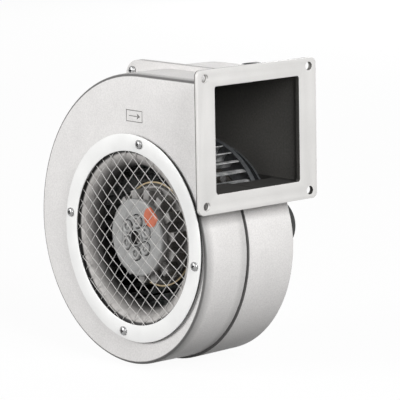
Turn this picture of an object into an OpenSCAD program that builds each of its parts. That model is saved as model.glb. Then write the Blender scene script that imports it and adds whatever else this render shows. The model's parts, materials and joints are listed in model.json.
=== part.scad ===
// Blower with an external-rotor motor: a two-part scroll housing, a guarded inlet,
// a forward-curved impeller on the motor's rotor, and a square outlet flange.
// Millimetres. The origin is the centre of the outlet flange's front face. +X is the way
// the air leaves, +Z is up, and the inlet looks towards -Y.

/* [Impeller] */
// Diameter over the blades
wheel_d = 140; // [138:1:141]
// Width of the impeller along its axis
wheel_w = 60; // [56:1:60]
// Depth of a blade from its inner edge to its outer edge
blade_depth = 13; // [12:0.5:13.4]
// Number of blades
blade_count = 42; // [30:1:48]
// Thickness of a blade
blade_t = 0.6; // [0.4:0.1:0.8]

/* [Housing] */
// Wall thickness of the die-cast halves
wall = 3; // [2.5:0.25:3]
// Depth of the closed housing, from its front face to its rear face
housing_depth = 88; // [88:1:92]
// How much the scroll widens at its lowest point, and again at its top
side_step = 19; // [18:0.5:19.5]
// How much the scroll widens at its left side
low_step = 9.5; // [9:0.5:10]
// How much larger the radius of the scroll's narrowest quarter is than the impeller's
scroll_start = 4.5; // [4:0.25:5]
// Width of the groove between the two halves
seam_gap = 1.2; // [0.8:0.1:1.6]
// How far the rear half stands out past the front half at the seam
rear_lip = 2; // [1.5:0.25:2.5]
// Height of the clamping rib above the top wall
rib_h = 3.5; // [3:0.25:4]

/* [Outlet flange] */
// Flange width, along the blower's axis
flange_w = 117; // [115:1:120]
// Flange height
flange_h = 106.5; // [105:0.5:110]
// Flange thickness
flange_t = 3.5; // [2.5:0.25:4]
// Width of the outlet opening
outlet_w = 83.4; // [80:0.2:84]
// Height of the outlet opening
outlet_h = 79.8; // [76:0.2:80]
// Distance between the bolt holes across the flange
bolt_span_w = 102.5; // [101:0.5:104]
// Distance between the bolt holes up the flange
bolt_span_h = 94; // [93:0.5:95]
// Diameter of the bolt holes
bolt_d = 6.5; // [5.5:0.1:6.6]

/* [Inlet] */
// Outer diameter of the inlet ring
ring_d = 160; // [158:1:161]
// Bore of the inlet ring
ring_bore = 133.6; // [132:0.2:134]
// Thickness of the inlet ring
ring_t = 1.2; // [1:0.1:1.5]
// Diameter of the circle that the ring's screws stand on
ring_screw_circle = 148.2; // [148:0.1:149]
// Bore of the nozzle where it enters the impeller
throat_d = 109; // [106:0.5:110]
// Diameter of a guard wire
wire_d = 0.88; // [0.7:0.02:0.9]
// Distance between the guard wires that rise to the left
wire_pitch_a = 8.85; // [8:0.05:12]
// Distance between the guard wires that rise to the right
wire_pitch_b = 9.05; // [8:0.05:12]

/* [Motor] */
// Outer diameter of the rotor's steel shell
rotor_d = 81; // [79:0.5:82]
// Diameter of the rotor's nose
nose_d = 60; // [59:0.5:61]
// Diameter of the shaft
shaft_d = 8; // [7.9:0.05:8]
// Number of cooling fins behind the nose
fin_count = 14; // [10:1:14]
// Thickness of a cooling fin
fin_t = 6; // [3:0.5:6]
// Number of teeth on the stator
tooth_count = 12; // [9:3:12]
// Number of magnets in the rotor
magnet_count = 8; // [6:2:10]

/* [Terminal box] */
// Outer diameter of the round terminal box
box_d = 36.6; // [36:0.2:37]
// Distance of the terminal box from the impeller's axis
box_offset = 49.4; // [49.2:0.1:50]

/* [Hidden] */

$fn = 96;
wheel_r = wheel_d / 2;
base_r = wheel_r + scroll_start;

// The four quarters of the scroll turn about the corners of a small rectangle
right_x = 8;
left_x = right_x - side_step;
upper_z = 4;
lower_z = upper_z - low_step;
top_r = base_r + 2 * side_step + low_step;

// Where the impeller's axis meets the plane of the inlet ring, seen from the origin
axis_to_face = 95.7;
ring_to_flange = 44.9;
axis_to_centre = 83.25;

// Depths behind the front of the inlet ring
gasket_y = ring_t;
front_y = 3;
seam_y = 44;
rear_y = front_y + housing_depth;
wheel_y = 16.3;
wheel_end = wheel_y + wheel_w;
sheet_t = 0.8;
rim_r = wheel_r + 0.5;
rim_w = 4;

// The duct between the scroll and the flange
duct_low = 41;
tongue_fillet = 14;
wheel_clearance = 5;

// Tabs that rivet the flange to the duct's outer faces: the way the face looks, as a turn
// about X from +Z, the place across it, and its distance from the flange's centre
tab_w = 16;
tab_l = 12;
tab_t = 1.5;
duct_top = upper_z + top_r - axis_to_centre;
tab_places = [
  [0, -22, duct_top],
  [90, 0, ring_to_flange - front_y],
  [0, 24, duct_top + rear_lip],
  [-90, 0, rear_y - ring_to_flange]
];

// The impeller's nose, shell and shaft
nose_y = 4.8;
nose_h = 3;
nose_edge = 2;
flower_h = 1;
shell_y = 27;
shell_t = 2.5;
shell_end = wheel_end - sheet_t;
shell_flange_r = 50;
shaft_r = shaft_d / 2;
running_gap = 0.05;

// The stator side
bearing_r = 11;
bearing_w = 7;
tube_r = 14;
front_bearing_y = 34;
rear_bearing_y = 74;
tube_end = 84.3;
plate_y = 86.3;
core_y = 40;
core_end = 64;
core_r = 34.4;
insulator_t = 1.2;
coil_over = 3.6;
board_y = 69.5;
board_t = 1.6;

// The clip for the lead at the top of the rear wall
clip_x = 35;
clip_screw_z = 114;

// The terminal box on the rear wall, and the bore for its lead
box_y = rear_y;
box_h = 14.5;
box_z = 4.2;
lead_bore_r = 2.8;

screw_angles = [80.9, 170.9, 260.9, 350.9];
// Clamping screws of the two halves: one on the top rib and two on lugs
joint_places = [[-43.5, 121], [-121.5, 8], [-91.2, -72]];
lug_r = 7;

// ---------------------------------------------------------------- helpers

// Moves a part drawn about the impeller's axis to its place in the frame
module at_axis() {
  translate([-axis_to_face, -ring_to_flange, -axis_to_centre]) children();
}

// Undoes at_axis, for what is placed from the flange
module off_axis() {
  translate([axis_to_face, ring_to_flange, axis_to_centre]) children();
}

// Turns a profile of [radius, depth] points about the impeller's axis
module turned() {
  rotate([-90, 0, 0]) rotate_extrude() children();
}

// Gives a flat outline, drawn in X and Z, a depth from y0 to y1
module slab(y0, y1) {
  translate([0, y1, 0]) rotate([90, 0, 0]) linear_extrude(y1 - y0) children();
}

// A round bar along Y from y0 to y1
module bar(r, y0, y1, x = 0, z = 0) {
  translate([x, y1, z]) rotate([90, 0, 0]) cylinder(r = r, h = y1 - y0);
}

// A flat ring along Y
module ring(r_in, r_out, y0, y1) {
  difference() {
    bar(r_out, y0, y1);
    bar(r_in, y0 - 1, y1 + 1);
  }
}

// Copies its children around the impeller's axis, starting at an angle from +X towards +Z
module around(count, start = 0) {
  for (i = [0 : count - 1])
    rotate([0, -start - i * 360 / count, 0]) children();
}

// A rectangle with true arcs at its corners, for holes and plates
module plate_rect(w, h, r) {
  square([w - 2 * r, h], center = true);
  square([w, h - 2 * r], center = true);
  for (x = [-1, 1], y = [-1, 1])
    translate([x * (w / 2 - r), y * (h / 2 - r)]) circle(r = r, $fn = 32);
}

// A pan-head screw whose head stands on depth y, with its shank towards +Y
module pan_screw(head_r, head_h, shank_r, length, y) {
  difference() {
    union() {
      bar(head_r, y - head_h * 0.55, y);
      bar(head_r * 0.8, y - head_h, y - head_h * 0.55);
    }
    translate([0, y - head_h, 0]) cube([head_r * 1.1, head_h, head_r * 0.26], center = true);
    translate([0, y - head_h, 0]) cube([head_r * 0.26, head_h, head_r * 1.1], center = true);
  }
  bar(shank_r, y, y + length);
}

// ---------------------------------------------------------------- scroll outline

// One quarter of the scroll: a quarter disc about its own centre
module quarter(cx, cz, r, sx, sz) {
  intersection() {
    translate([cx, cz]) circle(r = r, $fn = 180);
    translate([cx + (sx < 0 ? -r : 0), cz + (sz < 0 ? -r : 0)]) square(r);
  }
}

// The four quarters of the scroll, each moved out by grow
module quarters(grow) {
  quarter(right_x, lower_z, base_r + grow, 1, 1);
  quarter(left_x, lower_z, base_r + side_step + grow, 1, -1);
  quarter(left_x, upper_z, top_r - side_step + grow, -1, -1);
  quarter(right_x, upper_z, top_r + grow, -1, 1);
}

// The scroll with its outlet duct. grow moves the whole outline out or in.
module scroll(grow, duct_end) {
  fillet = tongue_fillet - grow;
  fillet_z = duct_low - grow - fillet;
  reach = base_r + grow + fillet;
  fillet_x = right_x + sqrt(pow(reach, 2) - pow(fillet_z - lower_z, 2));
  difference() {
    union() {
      quarters(grow);
      translate([left_x, lower_z]) square([side_step, low_step]);
      translate([right_x, duct_low - grow])
        square([duct_end - right_x, upper_z + top_r - duct_low + 2 * grow]);
      polygon([
        [right_x, 0], [right_x, duct_low - grow + 1], [fillet_x, duct_low - grow + 1],
        [fillet_x, fillet_z],
        [right_x + base_r * 0.9 * (fillet_x - right_x) / reach,
         lower_z + base_r * 0.9 * (fillet_z - lower_z) / reach]
      ]);
    }
    translate([fillet_x, fillet_z]) circle(r = fillet, $fn = 64);
  }
}

// The hollow inside the scroll, open above the tongue and round the impeller. inset is
// the thickness of the wall round it.
module hollow(inset) {
  quarters(-inset);
  translate([right_x, duct_low + inset])
    square([axis_to_face, upper_z + top_r - duct_low - 2 * inset]);
  circle(r = wheel_r + wheel_clearance, $fn = 180);
}

// The rib that clamps the halves along the top, with a round left end
module top_rib() {
  rib_top = upper_z + top_r + rib_h;
  end_r = 14.3;
  end_x = -37.5;
  translate([end_x, rib_top - end_r]) circle(r = end_r);
  translate([end_x, rib_top - end_r])
    square([axis_to_face - flange_t - end_x, end_r]);
}

// The lugs for the two other clamping screws
module lugs() {
  for (i = [1, 2])
    hull() {
      translate(joint_places[i]) circle(r = lug_r, $fn = 32);
      translate(joint_places[i] * 0.86) circle(r = lug_r + 2, $fn = 32);
    }
}

// ---------------------------------------------------------------- housing

module housing_front() {
  seam_front = seam_y - seam_gap / 2;
  wall_y = front_y + wall;
  color("gainsboro") at_axis() {
    difference() {
      union() {
        slab(front_y, seam_front) scroll(0, axis_to_face - flange_t);
        slab(seam_front - 3, seam_front) top_rib();
        slab(seam_front - 3, seam_front) lugs();
      }
      slab(wall_y, seam_front + 1) hollow(wall);
      bar(ring_bore / 2 - 0.5, front_y - 1, wall_y + 1);
      bar(71.6, front_y - 1, front_y + 1);
      for (a = screw_angles)
        rotate([0, -a, 0]) bar(2, front_y - 1, wall_y + 1, x = ring_screw_circle / 2);
      for (p = joint_places)
        bar(2.2, seam_front - 4, seam_front + 1, x = p[0], z = p[1]);
      off_axis() for (i = [0, 1]) rivet_hole(tab_places[i]);
    }
    for (a = screw_angles)
      rotate([0, -a, 0]) difference() {
        bar(4.5, wall_y - 1, 13.5, x = ring_screw_circle / 2);
        bar(2, wall_y - 2, 14.5, x = ring_screw_circle / 2);
      }
    rotation_mark();
  }
}

// Raised frame with an arrow that shows which way the impeller turns
module rotation_mark() {
  line = 0.5;
  translate([2.9, 0, 93.5]) slab(front_y - 0.35, front_y + 0.5) {
    difference() {
      square([19, 9], center = true);
      square([19 - 2 * line, 9 - 2 * line], center = true);
    }
    translate([-6, -line / 2]) square([9, line]);
    polygon([[3, -2], [7, 0], [3, 2]]);
  }
}

module housing_rear() {
  seam_rear = seam_y + seam_gap / 2;
  color("gainsboro") at_axis()
    difference() {
      union() {
        slab(seam_rear, rear_y) scroll(rear_lip, axis_to_face - flange_t);
        slab(seam_rear, seam_rear + 3) top_rib();
        slab(seam_rear, seam_rear + 3) lugs();
      }
      slab(seam_rear - 1, rear_y - wall) hollow(wall - rear_lip / 2);
      bar(25, rear_y - wall - 1, rear_y + 1);
      for (p = joint_places)
        bar(2.2, seam_rear - 1, seam_rear + 6, x = p[0], z = p[1]);
      off_axis() for (i = [2, 3]) rivet_hole(tab_places[i]);
      around(4, 45) bar(2.1, rear_y - wall - 1, rear_y + 1, x = 58);
      around(3, 30) bar(1.2, rear_y - wall - 1, rear_y + 1, x = 27.8);
      bar(1.2, rear_y - wall - 1, rear_y + 1, x = clip_x, z = clip_screw_z);
      for (s = [-1, 1])
        bar(1.3, rear_y - wall - 1, rear_y + 1, x = box_offset, z = 4.2 + s * 8);
    }
}

module seam_gasket() {
  y0 = seam_y - seam_gap / 2;
  y1 = seam_y + seam_gap / 2;
  color("black") at_axis()
    difference() {
      slab(y0, y1) scroll(-1, axis_to_face - flange_t);
      slab(y0 - 1, y1 + 1) hollow(wall);
    }
}

module joint_screws() {
  color("silver") at_axis()
    for (p = joint_places)
      translate([p[0], 0, p[1]]) pan_screw(3.6, 2.4, 2, 11, seam_y - seam_gap / 2 - 3);
}

module joint_nuts() {
  y0 = seam_y + seam_gap / 2 + 3;
  color("silver") at_axis()
    for (p = joint_places)
      difference() {
        translate([p[0], y0 + 3.2, p[1]]) rotate([90, 0, 0]) cylinder(r = 3.6, h = 3.2, $fn = 6);
        bar(2.05, y0 - 1, y0 + 5, x = p[0], z = p[1]);
      }
}

// ---------------------------------------------------------------- outlet

// Turns an outline drawn in Y and Z into a plate from x0 to x1 at the frame's origin
module face_plate(x0, x1) {
  translate([x0, 0, 0]) rotate([90, 0, 90]) linear_extrude(x1 - x0) children();
}

module outlet_flange() {
  color("gainsboro") {
    difference() {
      face_plate(-flange_t, 0) plate_rect(flange_w, flange_h, 4.5);
      face_plate(-flange_t - 1, 1) translate([-0.4, 0.7]) plate_rect(outlet_w, outlet_h, 2);
      for (y = [-1, 1], z = [-1, 1])
        translate([-flange_t - 1, y * bolt_span_w / 2, z * bolt_span_h / 2])
          rotate([0, 90, 0]) cylinder(d = bolt_d, h = flange_t + 2);
    }
    for (place = tab_places)
      on_duct(place)
        difference() {
          translate([0, -tab_w / 2, 0]) cube([tab_l + 0.5, tab_w, tab_t]);
          translate([tab_l / 2, 0, -1]) cylinder(r = 1.65, h = tab_t + 2);
        }
  }
}

// Puts its children on the duct's outer face, behind the flange, at one of tab_places
module on_duct(place) {
  rotate([place[0], 0, 0])
    translate([-flange_t - tab_l, place[1], place[2]]) children();
}

// The hole through the duct's wall for a rivet of the flange
module rivet_hole(place) {
  on_duct(place) translate([tab_l / 2, 0, -wall - 1]) cylinder(r = 1.65, h = wall + 2);
}

module flange_rivets() {
  color("silver")
    for (place = tab_places)
      on_duct(place)
        translate([tab_l / 2, 0, 0]) {
          translate([0, 0, tab_t]) cylinder(r = 3, h = 1);
          translate([0, 0, -wall]) cylinder(r = 1.6, h = wall + tab_t + 0.5);
        }
}

// ---------------------------------------------------------------- inlet

module inlet_nozzle() {
  mouth_r = ring_bore / 2 - 0.8;
  throat_r = throat_d / 2;
  deep = 13;
  sheet = 1;
  end_y = 18;
  curve = mouth_r - throat_r;
  color("lightgray") at_axis()
    turned()
      polygon(concat(
        [[71.4, front_y]],
        [for (t = [0 : 7.5 : 90]) [mouth_r - curve * sin(t), front_y + deep * (1 - cos(t))]],
        [[throat_r, end_y], [throat_r + sheet, end_y]],
        [for (t = [90 : -7.5 : 0])
          [mouth_r - (curve - sheet) * sin(t), front_y + deep - (deep - sheet) * cos(t)]],
        [[71.4, front_y + sheet]]
      ));
}

module inlet_gasket() {
  color("black") at_axis()
    difference() {
      ring(ring_bore / 2 + 0.7, ring_d / 2 - 1, gasket_y, front_y);
      for (a = screw_angles)
        rotate([0, -a, 0]) bar(2.2, gasket_y - 1, front_y + 1, x = ring_screw_circle / 2);
    }
}

// One family of straight guard wires, turned by an angle in the inlet's plane
module wires(pitch, first, angle, depth) {
  reach = 71.3;
  count = floor(reach / pitch);
  rotate([0, angle, 0])
    for (i = [-count - 1 : count + 1]) {
      x = first + i * pitch;
      half = sqrt(max(0, pow(reach, 2) - pow(x, 2)));
      if (half > 15)
        translate([x, depth, -half]) cylinder(d = wire_d, h = 2 * half, $fn = 24);
    }
}

module guard_mesh() {
  layer = (front_y - gasket_y) / 4;
  color("silver") at_axis() {
    wires(wire_pitch_a, -1.86, -53.8, gasket_y + layer);
    wires(wire_pitch_b, -3.96, 42.1, front_y - layer);
  }
}

module inlet_ring() {
  color("whitesmoke") at_axis()
    difference() {
      ring(ring_bore / 2, ring_d / 2, 0, ring_t);
      for (a = screw_angles)
        rotate([0, -a, 0]) bar(2.2, -1, ring_t + 1, x = ring_screw_circle / 2);
    }
}

module ring_screws() {
  color("silver") at_axis()
    for (a = screw_angles)
      rotate([0, -a, 0]) translate([ring_screw_circle / 2, 0, 0])
        rotate([0, a, 0]) pan_screw(3.5, 2.2, 1.9, 12, 0);
}

// ---------------------------------------------------------------- impeller

// A blade is a strip of a cylinder that starts radially and ends almost along the rim
module blade_outline() {
  curve_r = blade_depth * 0.96;
  inner_r = wheel_r - blade_depth;
  sweep = 75;
  translate([inner_r, -curve_r])
    intersection() {
      difference() {
        circle(r = curve_r + blade_t / 2, $fn = 64);
        circle(r = curve_r - blade_t / 2, $fn = 64);
      }
      polygon([
        [0, 0],
        [0, 3 * curve_r],
        [3 * curve_r * sin(sweep), 3 * curve_r * cos(sweep)]
      ]);
    }
}

module impeller_blades() {
  color("slategray") at_axis()
    around(blade_count)
      slab(wheel_y + sheet_t, wheel_end - sheet_t) blade_outline();
}

module impeller_front_ring() {
  inner_r = wheel_r - blade_depth - 0.2;
  color("slategray") at_axis() {
    ring(inner_r, rim_r, wheel_y, wheel_y + sheet_t);
    ring(wheel_r, rim_r, wheel_y + sheet_t / 2, wheel_y + rim_w);
  }
}

module impeller_back_plate() {
  color("slategray") at_axis() {
    difference() {
      ring(rotor_d / 2 + 0.5, rim_r, wheel_end - sheet_t, wheel_end);
      around(6) bar(1.6, wheel_end - 2, wheel_end + 1, x = 46);
    }
    ring(wheel_r, rim_r, wheel_end - rim_w, wheel_end - sheet_t / 2);
  }
}

module impeller_rivets() {
  color("silver") at_axis()
    around(6) {
      bar(3, shell_end - 2.7, shell_end - 1.5, x = 46);
      bar(1.5, shell_end - 1.5, wheel_end, x = 46);
      bar(3, wheel_end, wheel_end + 1, x = 46);
    }
}

// A steel clip pushed over the impeller's back rim to balance it
module balance_clip() {
  color("silver") at_axis()
    rotate([0, -200, 0]) {
      translate([rim_r - 7, wheel_end, -3]) cube([7.6, 0.6, 6]);
      translate([rim_r, wheel_end - 5, -3]) cube([0.6, 5.3, 6]);
    }
}

// ---------------------------------------------------------------- rotor

module rotor_nose() {
  nose_r = nose_d / 2;
  bore_r = 4.5;
  color("darkgray") at_axis() {
    difference() {
      union() {
        turned()
          polygon(concat(
            [[bore_r, nose_y]],
            [for (t = [90 : -15 : 0])
              [nose_r - nose_edge * (1 - cos(t)), nose_y + nose_edge * (1 - sin(t))]],
            [[nose_r, nose_y + nose_h], [bore_r, nose_y + nose_h]]
          ));
        slab(nose_y - flower_h, nose_y) flower();
      }
      around(6, 25) bar(2.4, nose_y - 2, nose_y + 0.6, x = 12);
      bar(bore_r, nose_y - 2, nose_y + 6);
    }
  }
}

// Six round lobes about a disc: the casting's raised pattern round the shaft
module flower() {
  circle(r = 9.5);
  for (i = [0 : 5])
    rotate(25 + 60 * i) translate([12, 0]) circle(r = 4.2, $fn = 48);
}

module rotor_sticker() {
  color("tomato") at_axis() bar(6.4, nose_y - 0.15, nose_y, x = 15, z = 15.6);
}

module rotor_fins() {
  y0 = nose_y + nose_h;
  y1 = shell_y;
  hub_r = nose_d / 2 - 2;
  color("dimgray") at_axis() {
    difference() {
      union() {
        bar(hub_r, y0, y1);
        bar(rotor_d / 2 - 0.5, y1 - 2.5, y1);
        around(fin_count, 6)
          translate([hub_r - 1, y0 + 2, -fin_t / 2])
            cube([rotor_d / 2 - hub_r - 1, y1 - y0 - 3, fin_t]);
      }
      bar(shaft_r, y0 - 1, y1 + 1);
    }
  }
}

module rotor_shell() {
  r = rotor_d / 2;
  color("darkkhaki") at_axis() {
    difference() {
      union() {
        bar(r, shell_y, shell_end);
        bar(shell_flange_r, shell_end - 1.5, shell_end);
      }
      bar(r - shell_t, shell_y + 2, shell_end + 1);
      bar(shaft_r, shell_y - 1, shell_y + 3);
      around(6) bar(1.6, shell_end - 3, shell_end + 1, x = 46);
    }
  }
}

module rotor_magnets() {
  r = rotor_d / 2 - shell_t;
  color("dimgray") at_axis()
    difference() {
      ring(r - 3, r, core_y - 2, core_end + 2);
      around(magnet_count, 11)
        translate([r - 6, core_y - 4, -0.8]) cube([9, core_end - core_y + 8, 1.6]);
    }
}

module shaft() {
  color("silver") at_axis()
    difference() {
      bar(shaft_r, 13, 85.5);
      ring(shaft_r - 0.5, shaft_r + 1, 82.2, 83.2);
    }
}

module shaft_spacer() {
  color("silver") at_axis()
    ring(shaft_r, shaft_r + 2, shell_y + 2, front_bearing_y - 0.2);
}

module shaft_circlip() {
  color("gray") at_axis()
    difference() {
      ring(shaft_r - 0.5, shaft_r + 2.6, 82.2, 83.2);
      translate([0, 82, -1]) cube([8, 2, 2]);
    }
}

// ---------------------------------------------------------------- motor, fixed side

module bearing_tube() {
  color("lightgray") at_axis()
    difference() {
      union() {
        bar(tube_r, front_bearing_y - 1, tube_end);
        bar(24, tube_end, plate_y);
        bar(tube_r + 1.5, core_end + insulator_t, tube_end);
      }
      bar(shaft_r + 3, front_bearing_y - 2, plate_y + 1);
      bar(bearing_r, front_bearing_y - 2, front_bearing_y + bearing_w + 1.6);
      bar(bearing_r, rear_bearing_y, plate_y + 1);
      around(3, 90) bar(1.5, tube_end - 1, plate_y + 1, x = 19.5);
    }
}

// A shielded ball bearing whose bore runs on the shaft
module bearing(y) {
  color("silver") at_axis()
    difference() {
      bar(bearing_r, y, y + bearing_w);
      bar(shaft_r + running_gap, y - 1, y + bearing_w + 1);
      ring(6.2, 9.2, y - 1, y + 0.4);
      ring(6.2, 9.2, y + bearing_w - 0.4, y + bearing_w + 1);
    }
}

module front_bearing() {
  bearing(front_bearing_y);
}

module rear_bearing() {
  bearing(rear_bearing_y);
}

module preload_spring() {
  y = front_bearing_y + bearing_w;
  color("steelblue") at_axis() ring(8.4, 10.6, y, y + 1.6);
}

// A wedge of the stator's plane, half_angle either side of X
module wedge(half_angle, reach) {
  polygon([
    [0, 0],
    [reach, -reach * tan(half_angle)],
    [reach, reach * tan(half_angle)]
  ]);
}

// The outline of the stator's sheets: a ring, its teeth and their shoes
module stator_outline(shrink) {
  pitch = 360 / tooth_count;
  difference() {
    union() {
      circle(r = 20);
      for (i = [0 : tooth_count - 1])
        rotate(i * pitch) translate([17, -2.5]) square([15, 5]);
      intersection() {
        difference() {
          circle(r = core_r - shrink);
          circle(r = 31);
        }
        for (i = [0 : tooth_count - 1])
          rotate(i * pitch) wedge(pitch / 2 - 2.6, 50);
      }
    }
    circle(r = tube_r);
  }
}

module stator_core() {
  color("lightslategray") at_axis() slab(core_y, core_end) stator_outline(0);
}

module stator_insulators() {
  color("ivory") at_axis()
    for (y = [core_y - insulator_t, core_end])
      slab(y, y + insulator_t) stator_outline(0.6);
}

module stator_coils() {
  y0 = core_y - insulator_t;
  y1 = core_end + insulator_t;
  color("peru") at_axis()
    around(tooth_count)
      difference() {
        translate([21.4, y0 - coil_over, -4.7]) cube([8.8, y1 - y0 + 2 * coil_over, 9.4]);
        translate([20, y0, -2.5]) cube([12, y1 - y0, 5]);
      }
}

module board_spacers() {
  y0 = core_end + insulator_t;
  color("ivory") at_axis()
    around(3, 45) bar(1, y0, board_y, x = 18.4);
}

module drive_board() {
  color("darkgreen") at_axis() ring(17, 33, board_y, board_y + board_t);
}

// Position sensors, driver chips and a capacitor on the drive board
module board_parts() {
  y = board_y + board_t;
  color("black") at_axis() {
    around(3, 15) translate([28, y, -2]) cube([3, 1.2, 4]);
    around(4, 50) translate([21, y, -3]) cube([5, 1.6, 6]);
    rotate([0, -200, 0]) bar(3, y, y + 7, x = 26.5);
  }
}

module motor_plate() {
  color("lightgray") at_axis()
    difference() {
      ring(11.5, 64, plate_y, rear_y - wall);
      around(4, 45) bar(1.9, plate_y - 1, rear_y, x = 58);
      around(3, 90) bar(1.5, plate_y - 1, rear_y, x = 19.5);
      around(1, 150) bar(2.5, plate_y - 1, rear_y, x = 20);
    }
}

module tube_screws() {
  color("silver") at_axis()
    around(3, 90) {
      bar(1.45, tube_end + 0.2, rear_y - wall, x = 19.5);
      bar(2.7, rear_y - wall, rear_y - wall + 1.8, x = 19.5);
    }
}

module plate_screws() {
  color("silver") at_axis()
    around(4, 45) translate([58, 0, 0])
      mirror([0, 1, 0]) pan_screw(4, 2.4, 1.85, 5.5, -rear_y);
}

module motor_cap() {
  rim = 30.5;
  dome = 24.5;
  end_y = rear_y + 11;
  color("black") at_axis()
    difference() {
      turned()
        polygon([
          [0, rear_y], [rim, rear_y], [rim, rear_y + 2], [dome + 0.7, rear_y + 2],
          [dome, end_y - 3.5], [dome - 1.5, end_y - 1], [dome - 4, end_y], [0, end_y]
        ]);
      bar(dome - 2, rear_y - 1, end_y - 2);
      around(3, 30) bar(1.2, rear_y - 1, rear_y + 3, x = 27.8);
      around(12) translate([9, end_y - 3, -1]) cube([9, 4, 2]);
      translate([dome - 4, rear_y + 5, 0]) rotate([0, 90, 0]) cylinder(r = 2.6, h = 12);
    }
}

module cap_screws() {
  color("silver") at_axis()
    around(3, 30) translate([27.8, 0, 0])
      mirror([0, 1, 0]) pan_screw(2.1, 1.6, 1.15, 5, -rear_y - 2);
}

// The short sleeve that takes the leads from the motor cap to the terminal box
module lead_sleeve() {
  color("black") at_axis()
    translate([22, rear_y + 5, 0]) rotate([0, 90, 0])
      difference() {
        cylinder(r = 2.6, h = 12);
        translate([0, 0, -1]) cylinder(r = 1.8, h = 14);
      }
}

// ---------------------------------------------------------------- terminal box

module terminal_box() {
  r = box_d / 2;
  color("black") at_axis()
    difference() {
      translate([box_offset, 0, box_z]) difference() {
        bar(r, box_y, box_y + box_h);
        bar(r - 2, box_y + 2, box_y + box_h + 1);
        for (s = [-1, 1])
          bar(1.3, box_y - 1, box_y + 3, z = s * 8);
      }
      translate([22, rear_y + 5, 0]) rotate([0, 90, 0]) cylinder(r = 2.6, h = 12);
      translate([box_offset, box_y + 7.5, box_z + r - 3]) cylinder(r = 4.5, h = 5);
    }
}

module terminal_block() {
  color("ivory") at_axis()
    difference() {
      translate([box_offset - 10, box_y + 2, box_z - 5]) cube([20, 8, 10]);
      for (i = [-1 : 1])
        bar(1.6, box_y + 5, box_y + 11, x = box_offset + i * 6, z = box_z);
    }
}

module terminal_lid() {
  r = box_d / 2;
  y0 = box_y + box_h;
  color("black") at_axis()
    translate([box_offset, 0, box_z])
      difference() {
        turned()
          polygon([
            [0, y0], [r, y0], [r, y0 + 1.2], [r - 1.3, y0 + 2.5], [0, y0 + 2.5]
          ]);
        for (s = [-1, 1])
          bar(1.4, y0 - 1, y0 + 4, x = s * 13);
      }
}

module lid_screws() {
  y = box_y + box_h + 2.5;
  color("silver") at_axis()
    for (s = [-1, 1])
      translate([box_offset + s * 13, 0, box_z])
        mirror([0, 1, 0]) pan_screw(2.4, 1.6, 1.3, 6, -y);
}

module cable_gland() {
  z = box_z + box_d / 2 - 3;
  color("black") at_axis()
    translate([box_offset, box_y + 7.5, z])
      difference() {
        union() {
          cylinder(r = 4.5, h = 5);
          translate([0, 0, 4.5]) cylinder(r = 6.2, h = 3.5);
          translate([0, 0, 8]) cylinder(r = 4.6, h = 3);
        }
        translate([0, 0, -1]) cylinder(r = lead_bore_r, h = 14);
      }
}

module gland_nut() {
  z = box_z + box_d / 2 + 8;
  hex_h = 5;
  color("black") at_axis()
    translate([box_offset, box_y + 7.5, z])
      difference() {
        union() {
          cylinder(r = 6.2, h = hex_h, $fn = 6);
          rotate_extrude()
            polygon([[0, hex_h - 1], [5, hex_h - 1], [5, hex_h + 2.5], [3.8, hex_h + 3.5], [0, hex_h + 3.5]]);
        }
        translate([0, 0, -1]) cylinder(r = lead_bore_r, h = 12);
      }
}

// The clip at the top of the rear wall that guides the lead
module lead_clip() {
  color("black") at_axis()
    difference() {
      slab(rear_y, rear_y + 9)
        intersection() {
          translate([clip_x, 99]) circle(r = 29.2);
          translate([clip_x, 119]) square([20, 22], center = true);
        }
      bar(3.4, rear_y - 1, rear_y + 10, x = clip_x, z = 121.5);
      bar(1.2, rear_y - 1, rear_y + 10, x = clip_x, z = clip_screw_z);
    }
}

module lead_clip_screw() {
  color("silver") at_axis()
    translate([clip_x, 0, clip_screw_z])
      mirror([0, 1, 0]) pan_screw(2.3, 1.6, 1.15, 11, -rear_y - 9);
}

// ---------------------------------------------------------------- all nodes

housing_front();
housing_rear();
seam_gasket();
joint_screws();
joint_nuts();
outlet_flange();
flange_rivets();
inlet_nozzle();
inlet_gasket();
guard_mesh();
inlet_ring();
ring_screws();
impeller_blades();
impeller_front_ring();
impeller_back_plate();
impeller_rivets();
balance_clip();
rotor_nose();
rotor_sticker();
rotor_fins();
rotor_shell();
rotor_magnets();
shaft();
shaft_spacer();
shaft_circlip();
bearing_tube();
front_bearing();
rear_bearing();
preload_spring();
stator_core();
stator_insulators();
stator_coils();
drive_board();
board_spacers();
board_parts();
motor_plate();
tube_screws();
plate_screws();
motor_cap();
cap_screws();
lead_sleeve();
terminal_box();
terminal_block();
terminal_lid();
lid_screws();
cable_gland();
gland_nut();
lead_clip();
lead_clip_screw();
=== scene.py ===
"""Looks for a centrifugal blower: cast scroll housing, guarded inlet, impeller and outlet flange.

Depths are measured behind the front of the inlet ring, and x and z from the impeller's axis, all in
millimetres. Bench turns them into places in the frame.
"""
import json
import logging
import math
from collections.abc import Callable, Sequence
from dataclasses import dataclass, field
from enum import Enum

import bpy
from mathutils import Matrix, Vector


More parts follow.
